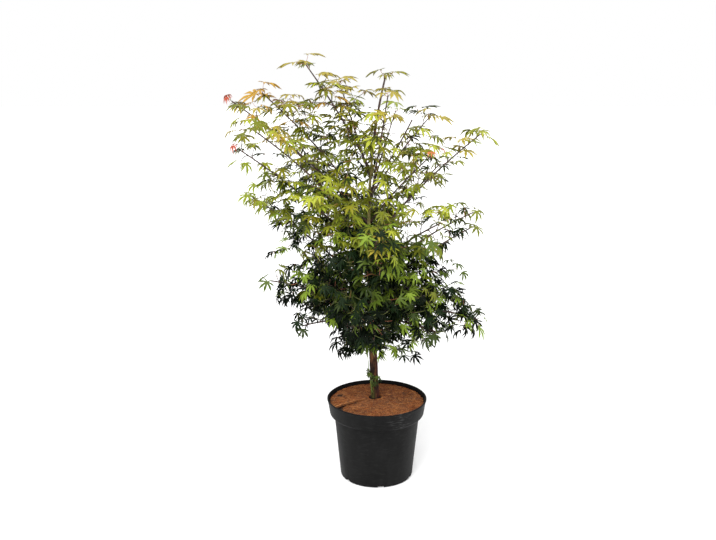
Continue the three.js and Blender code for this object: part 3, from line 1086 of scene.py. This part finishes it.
        self.fill(by_rise(rise, *TWIG_GAP) * TWIG_GAP_OF.get(self.name, 1.0), inside, mass.low, mass.high)
        for shares in OUTER_SPRAYS.get(self.name, []):
            self.twig_to(in_box(self.name, *shares), sure=True)
        self.grow_tip(*line.at(line.length))

    def grow_tip(self, end, limb):
        """The leaves at the shoot's end."""
        tint = TIP_TINTS.get(self.name, self.tint(end))
        if self.name in YOUNG_TIPS:
            self.pair(end, limb, 0.0, tint, size=0.6, stalk=1.2, habit="young", sure=True)
            return
        high = rise_of(end) > HIGH
        turn, habit = (math.pi / 2, "spread") if high or self.name in LEVEL_TIPS else (0.0, "open")
        self.pair(end, limb, turn, tint, size=1.3 if high else 1.1, habit=habit, sure=True)
        if high:
            self.pair(end - limb * 0.004, limb, 0.0, tint, size=0.8, stalk=0.8, sure=True)


def grow_core(foliage, room):
    """Twigs from the trunk and the bare parts of the shoots, which fill the middle of the crown."""
    grower = Grower("core", Line(TRUNK_MIDDLES), foliage, room)
    for points, radii in foliage.shoots:
        grower.mark_stem(points, radii)
    for height in STEM_NODES:
        middle, radius = trunk_at(height)
        grower.stems.append((middle, UP, min(radius, STEM_GIRTH)))

    def inside(place):
        stem, _ = trunk_at(place.z)
        bare = place.z > BARE_ABOVE and abs(place.x - stem.x) < BARE_HALF and place.y < stem.y
        in_core = room.core_depth(place) > CORE_INSET
        return in_core and room.depth_in_masses(place) < CORE_OVERLAP and not bare

    for (low, _, low_reach), (high, _, high_reach) in zip(CORE, CORE[1:]):
        middle, _ = core_at((low + high) / 2)
        reach = max(low_reach, high_reach)
        box_low = Vector((middle.x - reach, middle.y - reach, low))
        box_high = Vector((middle.x + reach, middle.y + reach, high))
        grower.fill(by_rise(rise_of(middle), *CORE_GAP), inside, box_low, box_high)


def grow_low_sprays(foliage, room):
    """Sprays that hang below the others round the stem."""
    grower = Grower("low sprays", Line(TRUNK_MIDDLES), foliage, room)
    for height in LOW_NODES:
        grower.stems.append((trunk_at(height)[0], UP, STEM_GIRTH))
    for height, turn, reach, tint in LOW_SPRAYS:
        middle, _ = trunk_at(CROWN_LOW + height)
        grower.twig_to(middle + level_way(math.radians(turn)) * reach, tint, sure=True)


def by_stem(height, turn, out):
    """A place so far out from the stem's bark, and the direction out from it."""
    middle, radius = trunk_at(height)
    way = level_way(math.radians(turn))
    return middle + way * (min(radius, STEM_WIDEST) + out), way


def grow_sprigs(foliage):
    """A thin green sucker up the side of the stem, and a few small leaves at its foot."""
    rng = random.Random("sprigs")
    bends = [by_stem(*bend)[0] for bend in SUCKER]
    line = [start.lerp(end, step / 6) for start, end in zip(bends, bends[1:]) for step in range(6)]
    line = [(before + here * 2 + after) / 4 for before, here, after in zip(line, line[1:], line[2:])]
    foliage.suckers.append((line, [0.0014 - 0.0005 * index / len(line) for index in range(len(line))]))
    for height, turn, length, tint in SPRIGS:
        node, way = by_stem(height, turn, -0.0005)
        joint = node + (way + UP * rng.uniform(-0.1, 0.5)).normalized() * rng.uniform(0.004, 0.007)
        blade, normal = drooping(way, math.radians(rng.uniform(35, 75)))
        normal = Quaternion(blade, rng.gauss(0, 0.5)) @ normal
        foliage.add_leaf(tint, rng.choice(foliage.shapes["open"]), joint, blade, normal, length)
        foliage.suckers.append(([node, joint], [0.0006, 0.0005]))


def grow_pruned(foliage):
    """The cut shoot, which is bare but for the stubs of its buds."""
    foot, end, radius = bough_ends("bough_" + PRUNED)
    thick = radius * GIRTH
    line = line_through(foot, foot.lerp(end, 0.45) - UP * 0.008, end, 40)
    foliage.shoots.append((line.points, [thick * (1 - 0.25 * index / 40) for index in range(41)]))
    for share in (0.45, 0.6, 0.74, 0.87, 0.97):
        node, limb = line.at(line.length * share)
        for side in (square_to(limb, 0.0), -square_to(limb, 0.0)):
            bud = node + (side + limb).normalized() * (thick + 0.004)
            foliage.shoots.append(([node, bud], [thick * 0.5, thick * 0.2]))


def grow_crown():
    foliage = Foliage()
    room = Room()
    for name in BOUGHS:
        short = name.removeprefix("bough_")
        if short != PRUNED:
            girth = bough_ends(name)[2] * GIRTH
            Grower(short, shoot_line(short), foliage, room).grow_shoot(0.06, girth)
    Grower(LEADER, leader_line(), foliage, room).grow_shoot(0.05, TRUNK[-3][1])
    grow_core(foliage, room)
    grow_low_sprays(foliage, room)
    grow_sprigs(foliage)
    grow_pruned(foliage)
    return foliage


def build_crown(foliage):
    """The pieces of the crown."""
    skin = shoot_finish()
    piece("shoots", mesh_of_limbs("shoots", foliage.shoots, 2), skin, BOUGHS)
    piece("twigs", mesh_of_limbs("twigs", foliage.twigs, 1), skin, MASSES)
    piece("suckers", mesh_of_limbs("suckers", foliage.suckers, 1), sucker_finish())
    for hue, colour in STALK_COLOURS.items():
        stalks = mesh_of_limbs("stalks_" + hue, foliage.stalks[hue], 0)
        piece("stalks_" + hue, stalks, plain_finish("stalk_" + hue, colour, 0.6))
    for tint, (colour, gloss) in TINTS.items():
        if foliage.leaves[tint]:
            finish = plain_finish("leaf_" + tint, colour, 0.45, gloss)
            piece("leaves_tint_" + tint, foliage.leaf_mesh(tint), finish, MASSES)


# ------------------------------------------------------------------ trunk

TRUNK_STEP = 0.004
EASED_OVER = 0.012      # the trunk's bends are eased over twice this, up and down
SLIMMER_ABOVE = 0.45    # from here up, the stem grows slimmer than its solid
SLIMMEST_ABOVE = 0.75
SLIMMEST = 0.68
BARK_DETAIL = 16        # the trunk has 4 + 2 * 16 sides
FLARE_TOP = 0.040       # height of the swollen foot above the trunk's lowest ring
FLARES = 5
BUD_GAP = 0.062         # the rings that old buds have left are so far apart
BUD_RING = (0.0006, 0.0022)     # how far such a ring stands out, and half its width
COLLAR = (0.25, 2.4)            # the same of the swelling round a bough, in the bough's radii


def smooth_trunk_at(height):
    """The trunk's middle and radius, with the bends between its rings eased."""
    spans = [trunk_at(height + step * EASED_OVER) for step in range(-2, 3)]
    middle = sum((middle for middle, _ in spans), Vector()) / len(spans)
    radius = sum(radius for _, radius in spans) / len(spans)
    slim = 1 - (1 - SLIMMEST) * clamped((height - SLIMMER_ABOVE) / (SLIMMEST_ABOVE - SLIMMER_ABOVE))
    return Vector((middle.x, middle.y, height)), min(radius, STEM_WIDEST) * slim


def bough_feet():
    """Where each bough leaves the trunk, which way, and how thick it is there."""
    feet = []
    for name in BOUGHS:
        foot, middle, radius = bough_ends(name)
        feet.append((foot, (middle - foot).normalized(), radius * GIRTH))
    return feet


def bark_relief(place, outward, feet):
    """How far the bark stands out at a place on the trunk."""
    low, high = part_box("trunk")
    rise = (place.z - low.z) / (high.z - low.z)
    turn = math.atan2(outward.y, outward.x)
    around = Vector((math.cos(turn) * 1.4, math.sin(turn) * 1.4, place.z * 16))
    ridges = noise.noise(around * 2.6) * 0.0009 + noise.noise(around * 6.1) * 0.0004
    lumps = noise.noise(place * 55) * 0.0007
    swollen = max(0.0, 1 - (place.z - low.z) / FLARE_TOP) ** 2
    flare = swollen * (0.0012 + 0.0012 * math.cos(FLARES * turn + 0.6))
    bud = ((place.z / BUD_GAP) % 1 - 0.5) * BUD_GAP
    collar = BUD_RING[0] * math.exp(-(bud / BUD_RING[1]) ** 2)
    for foot, way, thick in feet:
        reach = (foot + way * 0.006 - place).length
        if reach < thick * 6:
            collar += thick * COLLAR[0] * math.exp(-(reach / (thick * COLLAR[1])) ** 2)
    return (ridges + lumps) * (1.1 - 0.7 * rise) + flare + collar


def build_trunk():
    """The stem, with ridged bark, a swollen foot, and collars round the boughs."""
    low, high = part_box("trunk")
    count = round((high.z - low.z) / TRUNK_STEP)
    spans = [smooth_trunk_at(low.z + (high.z - low.z) * index / count) for index in range(count + 1)]
    stem = ([middle for middle, _ in spans], [radius for _, radius in spans])
    mesh = mesh_of_limbs("trunk_bark", [stem], BARK_DETAIL)
    feet = bough_feet()
    for corner in mesh.vertices:
        middle, _ = smooth_trunk_at(corner.co.z)
        outward = corner.co - middle
        outward.z = 0
        if outward.length > 0.0005:
            outward.normalize()
            corner.co += outward * bark_relief(corner.co, outward, feet)
    piece("trunk_bark", mesh, bark_finish(), ["trunk"])


# ------------------------------------------------------------------ pot

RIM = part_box("pot")[1]          # the rim's radius and height
POT_STEPS = 144
# The pot's wall, from the middle of its underside, up its outside, over the rim, and down inside to
# the middle of its floor: a radius, a height, and how far the edge there is rounded.
POT_PROFILE = [
    (0.0, 0.0025, 0.0),
    (0.080, 0.0025, 0.001),
    (0.084, 0.0, 0.001),
    (0.1018, 0.0, 0.006),
    (0.1181, 0.1640, 0.0),
    (0.1185, 0.1656, 0.0004),
    (0.1194, 0.1778, 0.003),
    (0.1320, 0.1850, 0.004),
    (RIM.x - 0.0014, RIM.z - 0.0040, 0.0004),
    (RIM.x, RIM.z - 0.0034, 0.0005),
    (RIM.x, RIM.z, 0.0011),
    (RIM.x - 0.0040, RIM.z, 0.0011),
    (RIM.x - 0.0046, RIM.z - 0.0040, 0.0004),
    (0.1295, 0.1875, 0.003),
    (0.1165, 0.1785, 0.003),
    (0.0995, 0.0040, 0.004),
    (0.0, 0.0040, 0.0),
]
NOTCHES = 6
NOTCH_TURN = -24.0      # degrees
NOTCH_REACH = 0.102
NOTCH_SIZE = (0.024, 0.018, 0.018)      # the lower half of each cutter is below the pot
NOTCH_ROUNDING = 0.005
CRISP_ABOVE = math.radians(35)          # the pot's edges that turn further than this stay crisp


def spun(profile, angle, steps, closed):
    """A bmesh of a profile that is turned about the z axis."""
    work = bmesh.new()
    corners = [work.verts.new(place) for place in profile]
    edges = [work.edges.new(pair) for pair in zip(corners, corners[1:])]
    turn = {"cent": (0, 0, 0), "axis": (0, 0, 1), "angle": angle, "steps": steps}
    bmesh.ops.spin(work, geom=corners + edges, use_merge=closed, **turn)
    return work


def round_off(work, edges, radius, segments):
    settings = {"profile": 0.5, "affect": "EDGES", "material": -1}
    bmesh.ops.bevel(work, geom=edges, offset=radius, segments=segments, **settings)


def ring_edges(work, radius, height):
    """The edges of the ring at a radius and a height."""
    def on_ring(corner):
        return abs(corner.co.z - height) < NEAR and abs(math.hypot(corner.co.x, corner.co.y) - radius) < NEAR

    return [edge for edge in work.edges if all(on_ring(corner) for corner in edge.verts)]


def pot_wall():
    """The pot's wall turned about its middle line, with its edges rounded."""
    work = spun([(radius, 0, height) for radius, height, _ in POT_PROFILE], math.tau, POT_STEPS, True)
    bmesh.ops.remove_doubles(work, verts=work.verts, dist=NEAR)
    bmesh.ops.recalc_face_normals(work, faces=work.faces)
    for radius, height, rounding in POT_PROFILE:
        if rounding:
            round_off(work, ring_edges(work, radius, height), rounding, 3)
    return work


def notch_cutters():
    """Rounded blocks round the foot of the pot, which cut its drain notches."""
    work = bmesh.new()
    for index in range(NOTCHES):
        turn = Matrix.Rotation(math.radians(NOTCH_TURN + index * 360 / NOTCHES), 4, "Z")
        place = turn @ Matrix.Translation((NOTCH_REACH, 0, 0)) @ Matrix.Diagonal((*NOTCH_SIZE, 1))
        made = bmesh.ops.create_cube(work, size=1.0, matrix=place)["verts"]
        top = [corner for corner in made if corner.co.z > 0]
        outward = turn @ Vector((1, 0, 0))
        edges = {edge for corner in top for edge in corner.link_edges if edge.other_vert(corner) in top}
        along = [e for e in edges if abs((e.verts[0].co - e.verts[1].co).normalized().dot(outward)) > 0.9]
        round_off(work, along, NOTCH_ROUNDING, 4)
    return work


def cut(name, work, cutters):
    """The mesh that is left when one bmesh is cut out of another."""
    made, tool = (bpy.data.objects.new(name, mesh_of_bmesh(name, part)) for part in (work, cutters))
    for thing in (made, tool):
        bpy.context.scene.collection.objects.link(thing)
    boolean = made.modifiers.new("notches", "BOOLEAN")
    boolean.operation = "DIFFERENCE"
    boolean.solver = "EXACT"
    boolean.object = tool
    mesh = bpy.data.meshes.new_from_object(made.evaluated_get(bpy.context.evaluated_depsgraph_get()))
    for thing in (made, tool):
        bpy.data.objects.remove(thing)
    mesh.name = name
    mesh.shade_smooth()
    mesh.set_sharp_from_angle(angle=CRISP_ABOVE)
    return mesh


def build_pot():
    mesh = cut("pot_wall", pot_wall(), notch_cutters())
    piece("pot_wall", mesh, plastic_finish(), ["pot"])


# ------------------------------------------------------------------ coir disc and growing mix

DISC_STEPS = 256
DISC_RINGS = 52
DISC_EDGE = DISC_HIGH.x         # the disc's radius
DISC_THICK = 0.005
DISC_DOME = 0.0040
BLANK_TURN = 6.0        # radians that the disc's blank is spun through before it is bent to the slit
SLIT_TURN = math.radians(207.0)
SLIT_GAP = 0.0042
SLIT_LIFT = 0.0040      # how far the slit's back side is lifted
SLIT_SINK = 0.0020      # how far its front side is pressed down
BITE = math.radians(12.0)       # the wedge that is missing where the slit meets the edge
STEM, STEM_RADIUS = smooth_trunk_at(GROUND)
HOLE_RADIUS = STEM_RADIUS + 0.0088
HOLE_MIDDLE = Vector((STEM.x, STEM.y - 0.003))
PUNCHED_RADIUS = 0.0058
PUNCHED_DEPTH = 0.0058
# The coir's loose strands: a colour and a number of each tint. Few of them lie on the edges.
STRANDS = {
    "pale": (srgb(190, 128, 74), 1300),
    "tan": (srgb(148, 84, 42), 2200),
    "dark": (srgb(76, 38, 18), 1600),
}
EDGE_STRANDS = 0.12
# pale strands along the slit's raised lip, partly a painted highlight there
LIP_HIGHLIGHT_STRANDS = 90
CRUMBS = 420            # crumbs of growing mix round the stem
SCATTERED_CRUMBS = 40   # crumbs that lie on the disc
GRIT = 38


def eased(value):
    value = clamped(value)
    return value * value * (3 - 2 * value)


def disc_place(share, sweep):
    """A point of the disc's top. share runs from the stem's hole to the edge, and sweep from the
    front side of the slit round to its back side, which stands higher."""
    gap = SLIT_GAP / (HOLE_RADIUS + (DISC_EDGE - HOLE_RADIUS) * share)
    start = SLIT_TURN + gap + BITE * eased((share - 0.72) / 0.28)
    turn = start + sweep * (SLIT_TURN + math.tau - start)
    way = Vector((math.cos(turn), math.sin(turn)))
    ragged, fine = (noise.noise(Vector((*way * scale, share))) for scale in (9, 40))
    hole = HOLE_RADIUS + 0.0034 * ragged + 0.0026 * fine
    rim = DISC_EDGE - 0.0008 + 0.0014 * ragged + 0.0007 * fine
    flat = HOLE_MIDDLE * (1 - share) + way * (hole + (rim - hole) * share)
    return Vector((flat.x, flat.y, disc_height(flat, sweep, share)))


def disc_height(flat, sweep, share):
    """The height of the disc's top, which is domed, matted and lifted along the slit."""
    domed = DISC_HIGH.z - DISC_DOME * (flat.length / DISC_EDGE) ** 2
    matted = noise.noise(Vector((flat.x, flat.y, 0)) * 45) * 0.0010
    matted += noise.noise(Vector((flat.x, flat.y, 0.5)) * 160) * 0.0006
    along = eased(share * 2.2)
    lifted = SLIT_LIFT * eased((sweep - 0.93) / 0.07) * along
    sunk = SLIT_SINK * eased((0.04 - sweep) / 0.04) * along
    away = (flat - PUNCHED).length
    heap = math.exp(-((away - 1.9 * PUNCHED_RADIUS) / 0.0024) ** 2)
    punched = PUNCHED_DEPTH * eased(1.6 - away / PUNCHED_RADIUS) - 0.0022 * heap
    worn = 0.0012 * eased((share - 0.94) / 0.06)
    return domed + matted + lifted - sunk - punched - worn


def build_disc():
    """The mat of coir on the soil, slit so that it goes round the stem."""
    blank = [(1 + index / DISC_RINGS, 0, 0) for index in range(DISC_RINGS + 1)]
    work = spun(blank, BLANK_TURN, DISC_STEPS, False)
    for corner in work.verts:
        share = math.hypot(corner.co.x, corner.co.y) - 1
        sweep = (math.atan2(corner.co.y, corner.co.x) % math.tau) / BLANK_TURN
        corner.co = disc_place(share, sweep if sweep < 1.02 else 0.0)
    bmesh.ops.recalc_face_normals(work, faces=work.faces)
    if sum(face.normal.z for face in work.faces) < 0:
        bmesh.ops.reverse_faces(work, faces=work.faces)
    bmesh.ops.solidify(work, geom=work.faces[:], thickness=DISC_THICK)
    mesh = mesh_of_bmesh("coir_disc", work, math.radians(50))
    piece("coir_disc", mesh, coir_finish(), ["mulch_disc"])


def highlight_lip_strands(rng):
    """Pale strands that run along the raised side of the slit: loose fibres, and partly a painted highlight
    where the raised lip catches the light.
    """
    strands = []
    for _ in range(LIP_HIGHLIGHT_STRANDS):
        share = rng.uniform(0.12, 0.94)
        sweep = rng.uniform(0.993, 0.999)
        points = []
        for step in range(4):
            place = disc_place(min(1.0, share + step * 0.018), sweep + rng.uniform(-0.001, 0.001))
            points.append(place + UP * rng.uniform(0.0, 0.0007))
        strands.append((points, [rng.uniform(0.00018, 0.0004)] * 4))
    return strands


def on_disc(flat):
    """Whether a strand has coir under it at a place."""
    over_stem_hole = (flat - HOLE_MIDDLE).length < HOLE_RADIUS - 0.002
    over_punched = (flat - PUNCHED).length < PUNCHED_RADIUS
    return flat.length <= DISC_EDGE + 0.001 and not over_stem_hole and not over_punched


def loose_strands(rng, count):
    """Strands that lie all over the disc, each a little bent and humped."""
    strands = []
    for _ in range(count):
        share, sweep = math.sqrt(rng.random()) * 1.01, rng.uniform(0.004, 0.996)
        if rng.random() < EDGE_STRANDS:
            share = rng.choice((rng.uniform(0.0, 0.03), rng.uniform(0.97, 1.01)))
        middle = disc_place(min(share, 1.0), sweep)
        way = Quaternion(UP, rng.uniform(0, math.tau)) @ Vector((1, 0, 0))
        bend = way.cross(UP) * rng.gauss(0, 0.003)
        half = rng.uniform(0.003, 0.011)
        hump = rng.uniform(0.0002, 0.0016)
        points = []
        for step in (-1.0, -0.4, 0.3, 1.0):
            point = middle + way * step * half + bend * step * step
            if not on_disc(point.xy):
                break
            points.append(point + UP * (hump * (1 - step * step) - 0.0001 + rng.uniform(0, 0.0005)))
        over_hole = (middle.xy - PUNCHED).length < PUNCHED_RADIUS + half * 0.6
        if len(points) > 2 and not over_hole:
            strands.append((points, [rng.uniform(0.00012, 0.00028)] * len(points)))
    return strands


def build_fibres():
    """Loose strands of coir that lie on the disc and stand out at its edges."""
    rng = random.Random("coir strands")
    for tint, (colour, count) in STRANDS.items():
        strands = loose_strands(rng, count)
        if tint == "pale":
            # the pale strands along the lip are partly a painted highlight
            strands += highlight_lip_strands(rng)
        mesh = mesh_of_limbs("coir_strands_" + tint, strands, 0)
        piece("coir_strands_" + tint, mesh, plain_finish("strand_" + tint, colour, 0.8, 0.2))


def crumb_shape():
    """A small lump, as arrays of corners and of faces."""
    work = bmesh.new()
    bmesh.ops.create_icosphere(work, subdivisions=1, radius=1.0)
    corners = np.array([corner.co[:] for corner in work.verts])
    faces = np.array([[corner.index for corner in face.verts] for face in work.faces])
    work.free()
    return corners, faces


def crumb_mesh(name, places, rng):
    """Lumps at places, each with its own size, stretch and turn."""
    shape, faces = crumb_shape()
    corners, triangles = [], []
    for place, size in places:
        lumpy = shape * np.array([[rng.uniform(0.7, 1.25)] for _ in shape]) * size
        squeezed = lumpy * np.array([rng.uniform(0.7, 1.3), rng.uniform(0.6, 1.0), rng.uniform(0.5, 0.9)])
        axis = Vector((rng.gauss(0, 1), rng.gauss(0, 1), rng.gauss(0, 1))).normalized()
        turned = np.array(Quaternion(axis, rng.uniform(0, 3)).to_matrix())
        triangles.append(faces + len(corners) * len(shape))
        corners.append(squeezed @ turned.T + np.array(place))
    return mesh_of_triangles(name, corners, triangles)


def soil_crumbs(rng):
    """Crumbs of growing mix round the stem, and a few that were spilt on the disc."""
    inner = STEM_RADIUS * 0.8
    crumbs = []
    for _ in range(CRUMBS):
        turn, share = rng.uniform(0, math.tau), math.sqrt(rng.random())
        spot = STEM + level_way(turn) * (inner + (HOLE_RADIUS + 0.002 - inner) * share)
        crumbs.append((spot + UP * rng.uniform(0.0005, 0.0055), rng.uniform(0.0008, 0.0022)))
    for _ in range(SCATTERED_CRUMBS):
        spot = disc_place(rng.uniform(0.02, 0.95), rng.uniform(0.02, 0.98))
        crumbs.append((spot + UP * 0.0004, rng.uniform(0.0005, 0.0014)))
    return crumbs


def grit_bits(rng):
    """Bits of grit at the front of the stem's hole, some of them on the disc's lip."""
    grit = []
    for _ in range(GRIT):
        turn = math.radians(rng.gauss(262, 55))
        reach = HOLE_RADIUS + rng.uniform(-0.0065, 0.0030)
        spot = HOLE_MIDDLE + level_way(turn).xy * reach
        height = DISC_HIGH.z - 0.0002 if reach > HOLE_RADIUS - 0.001 else GROUND + 0.0062
        grit.append((Vector((*spot, height)), rng.uniform(0.0006, 0.0015)))
    return grit


def build_soil():
    """Soil finish on the growing mix, crumbs of it round the stem, and grit on top of them."""
    soil = soil_finish()
    mesh = NODES["growing_mix"].data
    mesh.materials.clear()
    mesh.materials.append(soil)
    rng = random.Random("growing mix")
    crumbs = soil_crumbs(rng)
    grit = grit_bits(rng)
    piece("soil_crumbs", crumb_mesh("soil_crumbs", crumbs, rng), soil)
    piece("grit", crumb_mesh("grit", grit, rng), grit_finish())


build_crown(grow_crown())
build_trunk()
build_pot()
build_disc()
build_fibres()
build_soil()


# ------------------------------------------------------------------ floor, light and camera

# The soft lamps: each one's aim, how wide it looks in degrees, and its power.
LAMPS = {
    "key": ((0.3, 0.95, -0.98), 40, 2.8),
    "fill": ((-0.6, 0.6, -0.9), 80, 0.5),
}


def build_stage():
    work = bmesh.new()
    bmesh.ops.create_grid(work, x_segments=1, y_segments=1, size=12.0)
    floor = bpy.data.objects.new("floor", mesh_of_bmesh("floor", work))
    bpy.context.scene.collection.objects.link(floor)
    floor.data.materials.append(plain_finish("pale_floor", grey(0.95), 1.0, 0.0))


def build_light():
    world = bpy.data.worlds.new("pale_room")
    world.use_nodes = True
    sky = world.node_tree.nodes["Background"]
    sky.inputs["Color"].default_value = grey(1.0)
    sky.inputs["Strength"].default_value = 1.0
    bpy.context.scene.world = world
    for name, (aim, spread, power) in LAMPS.items():
        lamp = bpy.data.lights.new(name, "SUN")
        lamp.angle = math.radians(spread)
        lamp.energy = power
        made = bpy.data.objects.new(name, lamp)
        made.rotation_euler = Vector(aim).to_track_quat("-Z", "Y").to_euler()
        bpy.context.scene.collection.objects.link(made)


def build_camera():
    lens = bpy.data.cameras.new("camera")
    lens.sensor_width = 36.0
    lens.lens = LENS
    camera = bpy.data.objects.new("camera", lens)
    camera.location = EYE
    camera.rotation_euler = (math.pi / 2 - LOOK_DOWN, 0, 0)
    bpy.context.scene.collection.objects.link(camera)
    bpy.context.scene.camera = camera


build_stage()
build_light()
build_camera()
bpy.context.scene.view_settings.view_transform = "Standard"
